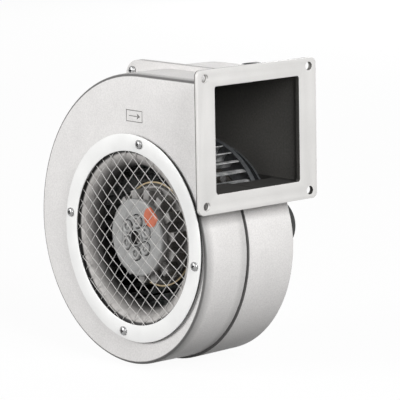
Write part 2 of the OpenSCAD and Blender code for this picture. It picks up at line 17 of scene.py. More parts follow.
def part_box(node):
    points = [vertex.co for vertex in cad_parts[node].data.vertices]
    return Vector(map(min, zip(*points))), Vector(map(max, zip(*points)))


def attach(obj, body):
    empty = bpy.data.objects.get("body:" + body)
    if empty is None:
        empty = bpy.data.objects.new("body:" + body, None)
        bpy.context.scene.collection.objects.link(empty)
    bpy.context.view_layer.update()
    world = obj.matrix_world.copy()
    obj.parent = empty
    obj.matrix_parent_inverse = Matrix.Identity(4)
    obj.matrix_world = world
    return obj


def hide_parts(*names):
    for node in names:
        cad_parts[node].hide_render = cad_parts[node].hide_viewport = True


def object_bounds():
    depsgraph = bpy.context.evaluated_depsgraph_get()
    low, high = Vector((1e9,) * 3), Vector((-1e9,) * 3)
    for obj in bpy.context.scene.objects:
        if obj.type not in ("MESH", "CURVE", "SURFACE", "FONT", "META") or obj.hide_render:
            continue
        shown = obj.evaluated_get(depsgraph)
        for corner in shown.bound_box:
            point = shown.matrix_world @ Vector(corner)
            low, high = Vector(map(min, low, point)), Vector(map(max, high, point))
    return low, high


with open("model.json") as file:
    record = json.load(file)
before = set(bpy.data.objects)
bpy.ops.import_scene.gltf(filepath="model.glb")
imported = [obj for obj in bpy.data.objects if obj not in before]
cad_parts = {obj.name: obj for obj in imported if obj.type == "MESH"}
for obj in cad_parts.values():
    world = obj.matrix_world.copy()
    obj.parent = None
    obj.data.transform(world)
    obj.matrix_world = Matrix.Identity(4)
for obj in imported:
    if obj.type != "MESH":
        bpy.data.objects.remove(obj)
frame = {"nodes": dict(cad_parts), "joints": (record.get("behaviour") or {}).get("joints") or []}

MM = 0.001
Piece = bpy.types.Object
Socket = bpy.types.NodeSocket
CAD_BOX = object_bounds()
NOISE_SPAN = (0.32, 0.68)
log = logging.getLogger("blower")


# ---------------------------------------------------------------- finishes


class Pattern(Enum):
    """How a finish's grain runs over a surface."""

    SAND = "sand"
    ROUND = "round the axis"
    SHEETS = "stacked sheets"
    WOUND = "wound wire"


@dataclass(frozen=True)
class Graph:
    """The nodes of a material or of the world, added and joined up one at a time."""

    tree: bpy.types.NodeTree

    @classmethod
    def of(cls, owner: bpy.types.Material | bpy.types.World) -> "Graph":
        """Opens the nodes of a material or of the world."""
        owner.use_nodes = True
        return cls(owner.node_tree)

    def feed(self, node: bpy.types.Node, feeds: dict) -> bpy.types.Node:
        """Sets a node's inputs, each to a value or from another node's output."""
        for key, value in feeds.items():
            if isinstance(value, Socket):
                self.tree.links.new(value, node.inputs[key])
            else:
                node.inputs[key].default_value = value
        return node

    def add(self, kind: str, feeds: dict | None = None, **settings: str) -> bpy.types.Node:
        """Adds a node.

        Args:
            kind: Its type, without the word in front that all shader nodes share.
            feeds: What each input gets, by its name or number.
            settings: The node's own settings.

        Returns:
            The node.
        """
        node = self.tree.nodes.new("ShaderNode" + kind)
        for name, value in settings.items():
            setattr(node, name, value)
        return self.feed(node, feeds or {})

    def multiplied(self, colour: Socket, other: Socket) -> Socket:
        """Multiplies two colours."""
        return self.add("Mix", {"Factor": 1.0, "A": colour, "B": other},
                        data_type="RGBA", blend_type="MULTIPLY").outputs["Result"]

    def ramp(self, value: Socket, stops: Sequence[tuple[float, tuple]]) -> Socket:
        """Colours a value by stops, each a place from 0 to 1 and the colour there."""
        node = self.add("ValToRGB", {"Fac": value})
        marks = node.color_ramp.elements
        while len(marks) < len(stops):
            marks.new(1.0)
        for mark, (place, colour) in zip(marks, stops):
            mark.position = place
            mark.color = (*colour, 1.0)
        return node.outputs["Color"]

    def eye(self) -> Socket:
        """Gives 1 where the camera, a gloss or a glass looks, and 0 elsewhere."""
        rays = self.add("LightPath").outputs
        more = self.add("Math", {0: rays["Is Glossy Ray"], 1: rays["Is Transmission Ray"]},
                        operation="MAXIMUM")
        return self.add("Math", {0: rays["Is Camera Ray"], 1: more.outputs[0]},
                        operation="MAXIMUM").outputs[0]


@dataclass(frozen=True)
class Finish:
    """A surface: its colour, its gloss, the grain that breaks both up, and painted shade in bands.

    Attributes:
        grain: Size of the fine grain in millimetres.
        tone: How far the grain lightens and darkens the colour, as a share.
        relief: Height of the grain in millimetres.
        patch: Size of the larger patches in millimetres.
        patch_tone: How far the patches darken the colour, as a share.
        wear: How far the patches change the roughness.
        name: The finish's own name, where two share a slot.
        painted_shade: Pairs of an axis and the shares of the colour left along it: painted shade.
    """

    slot: str
    colour: tuple[float, float, float]
    roughness: float
    metallic: float = 0.0
    grain: float = 1.0
    tone: float = 0.05
    relief: float = 0.01
    patch: float = 18.0
    patch_tone: float = 0.04
    wear: float = 0.06
    pattern: Pattern = Pattern.SAND
    coat: float = 0.0
    specular: float = 0.5
    name: str = ""
    painted_shade: tuple = ()

    def shade(self, share: float) -> tuple[float, ...]:
        """Gives the finish's colour made lighter or darker by a share."""
        return tuple(min(1.0, max(0.0, c * (1 + share))) for c in self.colour)

    def material(self, centre: Vector) -> bpy.types.Material:
        """Builds the finish as a node material, or gives the one that was built before.

        Args:
            centre: A point of the impeller's axis, which patterns and painted shade are measured
                from.

        Returns:
            The material.
        """
        name = (self.name or self.slot) + "_surface"
        material = bpy.data.materials.get(name)
        if material:
            return material
        material = bpy.data.materials.new(name)
        graph = Graph.of(material)
        place = graph.add("TexCoord").outputs["Object"]
        spot = graph.add("Mapping", {"Location": -centre, "Vector": place}).outputs["Vector"]
        grain = self.grain_height(graph, spot)
        patch = graph.add("TexNoise", {"Vector": spot, "Scale": 1 / (self.patch * MM),
                                       "Detail": 3}).outputs["Fac"]
        low, high = NOISE_SPAN
        colour = graph.multiplied(
            graph.ramp(grain, ((low, self.shade(-self.tone)), (high, self.shade(self.tone)))),
            graph.ramp(patch, ((low, (1 - self.patch_tone,) * 3), (high, (1.0,) * 3))))
        for axis, shares in self.painted_shade:
            colour = self.paint_shade(graph, spot, colour, axis, shares)
        gloss = graph.add("MapRange", {
            "Value": patch, "From Min": 0.3, "From Max": 0.7,
            "To Min": max(0.05, self.roughness - self.wear),
            "To Max": min(1.0, self.roughness + self.wear)})
        bump = graph.add("Bump", {"Height": grain, "Strength": 0.6, "Distance": self.relief * MM})
        graph.feed(graph.tree.nodes["Principled BSDF"], {
            "Base Color": colour, "Metallic": self.metallic, "Coat Weight": self.coat,
            "Specular IOR Level": self.specular, "Roughness": gloss.outputs["Result"],
            "Normal": bump.outputs["Normal"]})
        return material

    @staticmethod
    def paint_shade(graph: Graph, spot: Socket, colour: Socket, axis: str, shares: tuple) -> Socket:
        """Paints shade: makes a colour darker by the place along one of the blower's axes.

        Args:
            graph: The material's nodes.
            spot: The place from the impeller's axis.
            colour: The colour so far.
            axis: Y for the depth behind the inlet, Z for the height above the impeller's axis.
            shares: Pairs of a place and the share of the colour that is left there.

        Returns:
            The stained colour.
        """
        first, last = shares[0][0], shares[-1][0]
        split = graph.add("SeparateXYZ", {"Vector": spot})
        way = graph.add("MapRange", {"Value": split.outputs[axis], "From Min": first * MM,
                                     "From Max": last * MM}).outputs["Result"]
        stops = [((place - first) / (last - first), (share,) * 3) for place, share in shares]
        return graph.multiplied(colour, graph.ramp(way, stops))

    def grain_height(self, graph: Graph, spot: Socket) -> Socket:
        """Adds the fine grain and gives its height at a spot."""
        if self.pattern is Pattern.SAND:
            feeds = {"Scale": 1 / (self.grain * MM), "Detail": 4, "Roughness": 0.6}
            return graph.add("TexNoise", {"Vector": spot, **feeds}).outputs["Fac"]
        feeds = {"Scale": 0.5 / (self.grain * MM), "Distortion": 0.4}
        looks = {"wave_type": "BANDS", "bands_direction": "DIAGONAL"}
        if self.pattern is Pattern.SHEETS:
            looks["bands_direction"] = "Y"
        elif self.pattern is Pattern.ROUND:
            feeds |= {"Distortion": 2.5, "Detail": 3}
            looks = {"wave_type": "RINGS", "rings_direction": "Y"}
        return graph.add("TexWave", {"Vector": spot, **feeds}, **looks).outputs["Fac"]


# The first band is painted shade on the front face's rounded edge; the second is a dark line at the
# seam, a dark joint, with painted shade on the walls beside it.
CAST = Finish(
    "cast_aluminium", (0.79, 0.775, 0.765), 0.5, 0.05, grain=1.1, tone=0.08, relief=0.08,
    specular=0.12, painted_shade=(
        ("Y", ((2.9, 1.0), (3.02, 1.0), (3.1, 0.18), (3.8, 0.22), (4.7, 0.6), (12, 1.0))),
        ("Y", ((36, 1.0), (40, 0.85), (43.4, 0.83), (43.5, 0.25), (44.5, 0.25), (44.6, 0.95),
               (50, 1.0)))))
# The hollowed faces' surface: cast aluminium darkened nearly to black, painted shade inside the
# halves, in hole walls and engravings; its band darkens it further below the duct's floor, more
# painted shade.
HOLLOW_SHADE = Finish(
    "cast_aluminium", (0.155, 0.15, 0.14), 0.65, grain=1.6, tone=0.18, relief=0.04,
    painted_shade=(("Z", ((40, 0.3), (44.1, 0.3), (44.6, 0.9), (60, 1.0))),), name="painted_shade_inside")
FLANGE = Finish("flange_steel", (0.73, 0.72, 0.705), 0.45, 0.1, grain=0.6, tone=0.02, relief=0.008)
# Its band darkens the ring's edges behind its front face: painted shade under the rolled edges.
RING = Finish(
    "ring_steel", (0.91, 0.91, 0.9), 0.35, 0.1, grain=0.8, tone=0.015, relief=0.004,
    painted_shade=(("Y", ((0, 1.0), (0.4, 1.0), (0.65, 0.08), (1.2, 0.05))),))
# Its band is a dark line where the nozzle meets the ring, then darkens it the deeper it goes:
# painted shade.
NOZZLE = Finish(
    "nozzle_steel", (0.5, 0.48, 0.465), 0.6, 0.1, grain=3, tone=0.08, relief=0.004,
    painted_shade=(("Y", ((2.9, 0.06), (3.03, 0.06), (3.1, 1.0), (5.5, 0.65), (9.5, 0.24), (14, 0.08),
                   (18, 0.04))),))
WIRE = Finish("zinc_wire", (0.5, 0.49, 0.475), 0.45, 0.2, grain=0.5, tone=0.08)
SCREW = Finish("screw_steel", (0.34, 0.34, 0.34), 0.25, 0.6, grain=0.5, tone=0.06, relief=0.004)
# Galvanised sheet as the blades are, darkened nearly to black: painted shade on the wheel's rims
# and the motor plate.
SHADED_SHEET = Finish("galvanised_sheet", (0.09, 0.095, 0.1), 0.42, 0.3, grain=2.5, tone=0.3)
# Its band darkens the blades towards the inlet: painted shade where they are seen through the
# guard.
BLADE = Finish(
    "galvanised_sheet", (0.7, 0.74, 0.75), 0.35, 0.5, grain=5.0, tone=0.6, relief=0.02,
    painted_shade=(("Y", ((16, 0.3), (34, 0.42), (43, 1.0), (77, 1.0))),), name="blade_sheet")
GREY_CASTING = Finish(
    "grey_casting", (0.34, 0.34, 0.335), 0.5, 0.15, grain=0.9, tone=0.1, relief=0.05)
STICKER = Finish("sticker", (0.62, 0.155, 0.075), 0.4, grain=0.6, tone=0.04, relief=0.003)
DARK_PAINT = Finish("dark_paint", (0.33, 0.32, 0.31), 0.5, grain=1.4, tone=0.2, relief=0.03)
YELLOW_ZINC = Finish("yellow_zinc", (0.5, 0.4, 0.25), 0.3, 0.7, grain=3, tone=0.2)
# The motor's shell: the rim's yellow zinc darkened nearly to black, painted shade inside the wheel.
SHADED_SHELL = Finish(
    "yellow_zinc", (0.05, 0.045, 0.038), 0.5, 0.2, grain=3, tone=0.2, name="painted_shade_zinc")
MAGNET = Finish("magnet", (0.09, 0.09, 0.1), 0.6, 0.4, grain=0.7, tone=0.1, relief=0.02)
BRIGHT = Finish("bright_steel", (0.68, 0.68, 0.68), 0.2, 1.0, grain=0.5, relief=0.003,
                pattern=Pattern.ROUND)
SPRING = Finish("spring_steel", (0.28, 0.31, 0.38), 0.3, 0.9, grain=0.8, tone=0.1, relief=0.003)
CORE = Finish("core_steel", (0.33, 0.34, 0.36), 0.45, 0.8, grain=0.5, tone=0.25, relief=0.03,
              pattern=Pattern.SHEETS)
NYLON = Finish("nylon", (0.78, 0.75, 0.65), 0.5, grain=0.5, tone=0.02, relief=0.004)
COPPER = Finish("copper", (0.6, 0.24, 0.09), 0.3, 0.7, grain=0.5, tone=0.3, relief=0.08,
                pattern=Pattern.WOUND)
BOARD = Finish("board", (0.02, 0.14, 0.05), 0.35, grain=2.2, tone=0.25, coat=0.3)
# Black of the board's parts, also given to screw recesses and to the nose's bore and grooves, where
# it is painted shade.
BLACK_AND_SHADE = Finish("component_black", (0.02, 0.02, 0.02), 0.5, grain=0.4, tone=0.1)
RUBBER = Finish("black_rubber", (0.012, 0.012, 0.012), 0.75, grain=0.6, tone=0.2, relief=0.02)
PLASTIC = Finish("black_plastic", (0.022, 0.022, 0.022), 0.45, grain=0.5, tone=0.1, relief=0.015)

EASED_NODES = {"motor_cap": 0.5, "terminal_box": 0.5, "terminal_lid": 0.4, "cable_gland": 0.3,
               "gland_nut": 0.3, "lead_clip": 0.6}
BOX_LID_HOLES = ((62.4, 4.2), (36.4, 4.2))
CLIP_HOLES = ((35.0, 114.0),)
NODE_FINISHES = {
    RUBBER: ("seam_gasket", "inlet_gasket", "lead_sleeve"),
    SCREW: ("joint_nuts", "flange_rivets", "impeller_rivets", "tube_screws"),
    SPRING: ("balance_clip", "shaft_circlip", "preload_spring"),
    SHADED_SHELL: ("rotor_shell",),
    MAGNET: ("rotor_magnets",),
    BRIGHT: ("shaft", "shaft_spacer", "front_bearing", "rear_bearing"),
    GREY_CASTING: ("bearing_tube",),
    CORE: ("stator_core",),
    NYLON: ("stator_insulators", "board_spacers", "terminal_block"),
    COPPER: ("stator_coils",),
    BOARD: ("drive_board",),
    BLACK_AND_SHADE: ("board_parts",),
    SHADED_SHEET: ("motor_plate",),
}


# ---------------------------------------------------------------- bench


@dataclass(frozen=True)
class Line:
    """A straight stroke of an outline to a point."""

    x: float
    z: float


@dataclass(frozen=True)
class Arc:
    """A round stroke of an outline about a centre, positive from +X towards +Z."""

    x: float
    z: float
    degrees: float


@dataclass(frozen=True)
class Outline:
    """A closed outline across the impeller's axis: where it starts, and its strokes.

    Its arcs are drawn in steps of some degrees.
    """

    x: float
    z: float
    strokes: tuple
    step: float = 3.0


@dataclass
class Bench:
    """The steps that shape and dress a piece, in millimetres about the impeller's axis."""

    axis: Vector

    def at(self, x: float, depth: float, z: float) -> Vector:
        """Gives the place in the frame of a point about the axis."""
        return self.axis + Vector((x, depth, z)) * MM

    def local(self, point: Vector) -> Vector:
        """Gives a place in the frame in millimetres about the axis."""
        return (point - self.axis) / MM

    @staticmethod
    def clear() -> None:
        """Deselects every object."""
        bpy.ops.object.select_all(action="DESELECT")

    def take(self, piece: Piece) -> None:
        """Deselects all and takes one piece in hand."""
        self.clear()
        piece.select_set(True)
        bpy.context.view_layer.objects.active = piece

    def settle(self, piece: Piece) -> Piece:
        """Works a piece's place, turn and scale into its mesh."""
        self.take(piece)
        bpy.ops.object.transform_apply(location=True, rotation=True, scale=True)
        return piece

    def new(self) -> Piece:
        """Takes the primitive that was just added and settles it where it is."""
        return self.settle(bpy.context.object)

    @staticmethod
    def pick(action: str = "SELECT") -> None:
        """Selects all of the open mesh, or none of it."""
        bpy.ops.mesh.select_all(action=action)

    def edit(self, piece: Piece, mode: str = "VERT") -> None:
        """Opens a piece in edit mode with all of it selected."""
        self.take(piece)
        bpy.ops.object.mode_set(mode="EDIT")
        bpy.ops.mesh.select_mode(type=mode)
        self.pick()

    def edit_where(self, piece: Piece, mode: str, wanted: Callable[[int], bool]) -> None:
        """Opens a piece in edit mode with some of its points or edges selected.

        Args:
            piece: The piece in hand.
            mode: VERT for points or EDGE for edges.
            wanted: Takes the number of a point or an edge.
        """
        self.edit(piece, mode)
        self.pick("DESELECT")
        self.done()
        for part in piece.data.vertices if mode == "VERT" else piece.data.edges:
            part.select = wanted(part.index)
        bpy.ops.object.mode_set(mode="EDIT")

    @staticmethod
    def done() -> None:
        """Leaves edit mode."""
        bpy.ops.object.mode_set(mode="OBJECT")

    def seal(self) -> None:
        """Turns all faces of the open mesh outwards and leaves edit mode."""
        self.pick()
        bpy.ops.mesh.normals_make_consistent(inside=False)
        self.done()

    def pen(self, x: float, depth: float, z: float) -> Piece:
        """Puts down a single point to draw from, and stays in edit mode."""
        self.clear()
        bpy.ops.mesh.primitive_plane_add(size=MM, location=self.at(x, depth, z))
        piece = self.new()
        self.edit(piece)
        bpy.ops.mesh.merge(type="CENTER")
        return piece

    @staticmethod
    def stroke(dx: float, depth: float, dz: float) -> None:
        """Pulls what is selected on: a line from a point, or a block from a face."""
        bpy.ops.mesh.extrude_region_move(
            TRANSFORM_OT_translate={"value": (dx * MM, depth * MM, dz * MM)})

    def draw(self, outline: Outline, depth: float) -> Piece:
        """Draws a closed outline at a depth and fills it.

        Args:
            outline: The outline's start and strokes.
            depth: How far it lies behind the ring's front.

        Returns:
            The piece, one flat face.
        """
        piece = self.pen(outline.x, depth, outline.z)
        x, z = outline.x, outline.z
        for stroke in outline.strokes:
            if isinstance(stroke, Line):
                self.stroke(stroke.x - x, 0, stroke.z - z)
                x, z = stroke.x, stroke.z
                continue
            turn = math.radians(stroke.degrees)
            bpy.ops.mesh.spin(
                steps=max(2, round(abs(stroke.degrees) / outline.step)), angle=turn,
                center=self.at(stroke.x, depth, stroke.z), axis=(0, 1, 0))
            dx, dz = x - stroke.x, z - stroke.z
            x = stroke.x + dx * math.cos(turn) - dz * math.sin(turn)
            z = stroke.z + dx * math.sin(turn) + dz * math.cos(turn)
        self.pick()
        bpy.ops.mesh.remove_doubles(threshold=0.01 * MM)
        bpy.ops.mesh.edge_face_add()
        self.done()
        return piece

    def thicken(self, piece: Piece, length: float, draught: float = 0.0) -> Piece:
        """Pulls a flat face along the axis into a closed block that may narrow on the way."""
        facing = 1 if piece.data.polygons[0].normal.y > 0 else -1
        self.edit(piece, "FACE")
        if draught:
            bpy.ops.mesh.inset(thickness=draught * MM, depth=facing * length * MM)
            bpy.ops.mesh.select_mode(type="EDGE")
            self.pick("DESELECT")
            bpy.ops.mesh.select_non_manifold()
            bpy.ops.mesh.edge_face_add()
        else:
            self.stroke(0, length, 0)
        self.seal()
        return piece

    def block(self, outline: Outline, start: float, end: float, draught: float = 0.0) -> Piece:
        """Draws an outline and pulls it from one depth to another."""
        return self.thicken(self.draw(outline, start), end - start, draught)

    def bevel(self, piece: Piece, depth: float, width: float, segments: int) -> None:
        """Rounds the edges that lie flat at a depth.

        Args:
            piece: The piece in hand.
            depth: Where the edges lie behind the ring's front.
            width: Radius of the rounding.
            segments: Number of strips across it.
        """
        points = [self.local(v.co) for v in piece.data.vertices]
        ends = [tuple(edge.vertices) for edge in piece.data.edges]
        self.edit_where(
            piece, "EDGE", lambda e: all(abs(points[v].y - depth) < 0.01 for v in ends[e]))
        bpy.ops.mesh.bevel(offset=width * MM, segments=segments, affect="EDGES", clamp_overlap=True)
        self.done()

    def rod(self, radius: float, start: float, end: float, x: float = 0, z: float = 0,
            sides: int = 48) -> Piece:
        """Adds a round bar along the axis."""
        self.clear()
        bpy.ops.mesh.primitive_cylinder_add(
            vertices=sides, radius=radius * MM, depth=(end - start) * MM,
            location=self.at(x, (start + end) / 2, z), rotation=(math.pi / 2, 0, 0))
        return self.new()

    def brick(self, low: Sequence[float], high: Sequence[float]) -> Piece:
        """Adds a block between two corners, each given as x, depth and z."""
        low_at, high_at = self.at(*low), self.at(*high)
        self.clear()
        bpy.ops.mesh.primitive_cube_add(
            size=1, location=(low_at + high_at) / 2, scale=high_at - low_at)
        return self.new()

    def modify(self, piece: Piece, kind: str, **settings: object) -> None:
        """Puts a modifier on a piece and applies it."""
        self.take(piece)
        tool = piece.modifiers.new("tool", kind)
        for name, value in settings.items():
            setattr(tool, name, value)
        bpy.ops.object.modifier_apply(modifier=tool.name)

    def cut(self, piece: Piece, cutter: Piece, how: str = "DIFFERENCE") -> None:
        """Cuts one piece with another, or joins the two, and throws the cutter away."""
        self.modify(piece, "BOOLEAN", operation=how, solver="EXACT", object=cutter)
        bpy.data.objects.remove(cutter)

    def carve(self, piece: Piece, cutter: Piece) -> None:
        """Cuts one piece with another, and marks the new faces for the piece's second surface, a
        darker one that paints shade on them.
        """
        for thing in (piece, cutter):
            for number in range(len(thing.data.materials), 2):
                name = f"surface_{number}"
                surface = bpy.data.materials.get(name) or bpy.data.materials.new(name)
                thing.data.materials.append(surface)
        for face in cutter.data.polygons:
            face.material_index = 1
        self.cut(piece, cutter)

    def soften(self, piece: Piece, width: float, angle: float = 40, segments: int = 2) -> None:
        """Takes the sharpness off every edge that is steeper than an angle."""
        self.modify(piece, "BEVEL", width=width * MM, segments=segments, limit_method="ANGLE",
                    angle_limit=math.radians(angle), use_clamp_overlap=True)

    def turned(self, profile: Sequence[tuple[float, float]], x: float = 0, z: float = 0,
               steps: int = 96, rounding: float = 0.0) -> Piece:
        """Turns a profile about a line along the axis, as on a lathe.

        Args:
            profile: Points as radius and depth, in order. Off the line it is closed to a loop.
            x: Place of the lathe's line.
            z: Place of the lathe's line.
            steps: Number of facets round it.
            rounding: Radius put on the profile's corners.

        Returns:
            The turned piece.
        """
        radius, depth = profile[0]
        piece = self.pen(x + radius, depth, z)
        for (r0, d0), (r1, d1) in zip(profile, profile[1:]):
            self.stroke(r1 - r0, d1 - d0, 0)
        if radius > 0:
            self.close_loop(piece)
        if rounding:
            self.round_corners(piece, rounding)
        self.pick()
        bpy.ops.mesh.spin(steps=steps, angle=math.tau, center=self.at(x, 0, z), axis=(0, 1, 0))
        self.pick()
        bpy.ops.mesh.remove_doubles(threshold=0.002 * MM)
        self.seal()
        return piece

    def close_loop(self, piece: Piece) -> None:
        """Joins the two open ends of a drawn profile with an edge, and stays in edit mode."""
        self.done()
        ends = [0] * len(piece.data.vertices)
        for edge in piece.data.edges:
            for index in edge.vertices:
                ends[index] += 1
        self.edit_where(piece, "VERT", lambda v: ends[v] == 1)
        bpy.ops.mesh.edge_face_add()

    def round_corners(self, piece: Piece, width: float) -> None:
        """Rounds the sharp corners of a drawn profile, and stays in edit mode."""
        self.done()
        points = [v.co.copy() for v in piece.data.vertices]
        ways: list[list[Vector]] = [[] for _ in points]
        for edge in piece.data.edges:
            a, b = edge.vertices
            ways[a].append((points[b] - points[a]).normalized())
            ways[b].append((points[a] - points[b]).normalized())
        blunt = math.cos(math.radians(150))
        self.edit_where(
            piece, "VERT", lambda v: len(ways[v]) == 2 and ways[v][0].dot(ways[v][1]) > blunt)
        bpy.ops.mesh.bevel(offset=width * MM, segments=3, affect="VERTICES", clamp_overlap=True)

    def copied(self, piece: Piece) -> Piece:
        """Copies a piece with a mesh of its own."""
        copy = piece.copy()
        copy.data = piece.data.copy()
        bpy.context.scene.collection.objects.link(copy)
        return copy

    def turn(self, piece: Piece, degrees: float, x: float = 0, z: float = 0) -> None:
        """Turns a piece about a line along the axis, positive from +X towards +Z."""
        centre = self.at(x, 0, z)
        about = Matrix.Translation(centre) @ Matrix.Rotation(-math.radians(degrees), 4, "Y")
        piece.matrix_world = about @ Matrix.Translation(-centre)
        self.settle(piece)

    def around(self, piece: Piece, count: int, start: float = 0.0) -> Piece:
        """Repeats a piece round the impeller's axis and joins the copies."""
        copies = [piece] + [self.copied(piece) for _ in range(count - 1)]
        for index, copy in enumerate(copies):
            self.turn(copy, start + index * 360 / count)
        return self.joined(copies)

    def joined(self, pieces: Sequence[Piece]) -> Piece:
        """Joins separate shells into one piece, with the first one's surfaces."""
        surfaces = pieces[0].data.materials
        for piece in pieces[1:]:
            for number in range(len(piece.data.materials), len(surfaces)):
                piece.data.materials.append(surfaces[number])
        self.take(pieces[0])
        for piece in pieces:
            piece.select_set(True)
        if len(pieces) > 1:
            bpy.ops.object.join()
        return pieces[0]

    def eased(self, node: str, width: float) -> Piece:
        """Copies a CAD node's solid and eases its edges."""
        piece = self.copied(frame["nodes"][node])
        for key in list(piece.keys()):
            del piece[key]
        piece.parent = None
        self.edit(piece)
        bpy.ops.mesh.remove_doubles(threshold=0.001 * MM)
        bpy.ops.mesh.dissolve_limited(angle_limit=math.radians(1))
        self.done()
        self.soften(piece, width, angle=35)
        return piece

    def paint(self, piece: Piece, finish: Finish, inside: Finish | None = None) -> None:
        """Gives a piece a finish, and a darker one, painted shade, to the faces that were hollowed
        out.
        """
        surfaces = [look.material(self.axis) for look in (finish, inside) if look]
        slots = piece.data.materials
        while len(slots) > len(surfaces):
            slots.pop()
        while len(slots) < len(surfaces):
            slots.append(None)
        for index, surface in enumerate(surfaces):
            slots[index] = surface

    def fit(self, piece: Piece, name: str, finish: Finish, body: str,
            *nodes: str, angle: float = 35, inside: Finish | None = None) -> Piece:
        """Names, smooths and paints a piece, and fits it to its body in place of CAD nodes.

        Args:
            piece: The finished mesh.
            name: Its name.
            finish: Its surface.
            body: The body that it moves with.
            nodes: CAD nodes that it stands for.
            angle: Edges steeper than this stay sharp.
            inside: The darker surface of the faces that were hollowed out, painted shade, where it
                differs.

        Returns:
            The same piece.
        """
        piece.name = name
        self.take(piece)
        bpy.ops.object.shade_smooth_by_angle(angle=math.radians(angle))
        self.paint(piece, finish, inside)
        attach(piece, body)
        if nodes:
            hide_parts(*nodes)
        log.info("%s: %d faces", name, len(piece.data.polygons))
        return piece


# ---------------------------------------------------------------- housing


def on_circle(radius: float, angles: Sequence[float]) -> list[tuple[float, float]]:
    """Gives the places on a circle about the axis at some angles, in degrees."""
    ways = [math.radians(angle) for angle in angles]
    return [(radius * math.cos(way), radius * math.sin(way)) for way in ways]


@dataclass(frozen=True)
class Scroll:
    """The scroll's outline: four quarter turns, each wider than the one before, and the duct."""

    base: float = 74.5
    side_step: float = 19.0
    low_step: float = 9.5
    right: float = 8.0
    upper: float = 4.0
    duct_low: float = 41.0
    fillet: float = 14.0
    wall: float = 3.0

    def top(self) -> float:
        """Gives the height of the duct's top wall above the axis."""
        return self.upper + self.base + 2 * self.side_step + self.low_step

    def turns(self, lean: float) -> tuple:
        """Gives the strokes from the tongue, down and round to the top."""
        left, lower = self.right - self.side_step, self.upper - self.low_step
        return (Arc(self.right, lower, -lean), Arc(left, lower, -90), Arc(left, self.upper, -90),
                Arc(self.right, self.upper, -90))

    def outer(self, grow: float, duct_end: float) -> Outline:
        """Gives the outer outline, moved out by grow, with the duct drawn to duct_end."""
        lower = self.upper - self.low_step
        low, fillet = self.duct_low - grow, self.fillet - grow
        centre_z = low - fillet
        reach = self.base + grow + fillet
        centre_x = self.right + math.sqrt(reach**2 - (centre_z - lower) ** 2)
        lean = math.degrees(math.atan2(centre_z - lower, centre_x - self.right))
        return Outline(duct_end, low, (
            Line(centre_x, low),
            Arc(centre_x, centre_z, 90 + lean),
            *self.turns(lean),
            Line(duct_end, self.top() + grow),
        ))

    def inner(self, wall: float, duct_end: float) -> Outline:
        """Gives the outline of the hollow inside a wall, with the duct drawn to duct_end."""
        lower = self.upper - self.low_step
        radius, low = self.base - wall, self.duct_low + wall
        meets = self.right + math.sqrt(radius**2 - (low - lower) ** 2)
        lean = math.degrees(math.atan2(low - lower, meets - self.right))
        return Outline(duct_end, low, (
            Line(meets, low),
            *self.turns(lean),
            Line(duct_end, self.top() - wall),
        ))


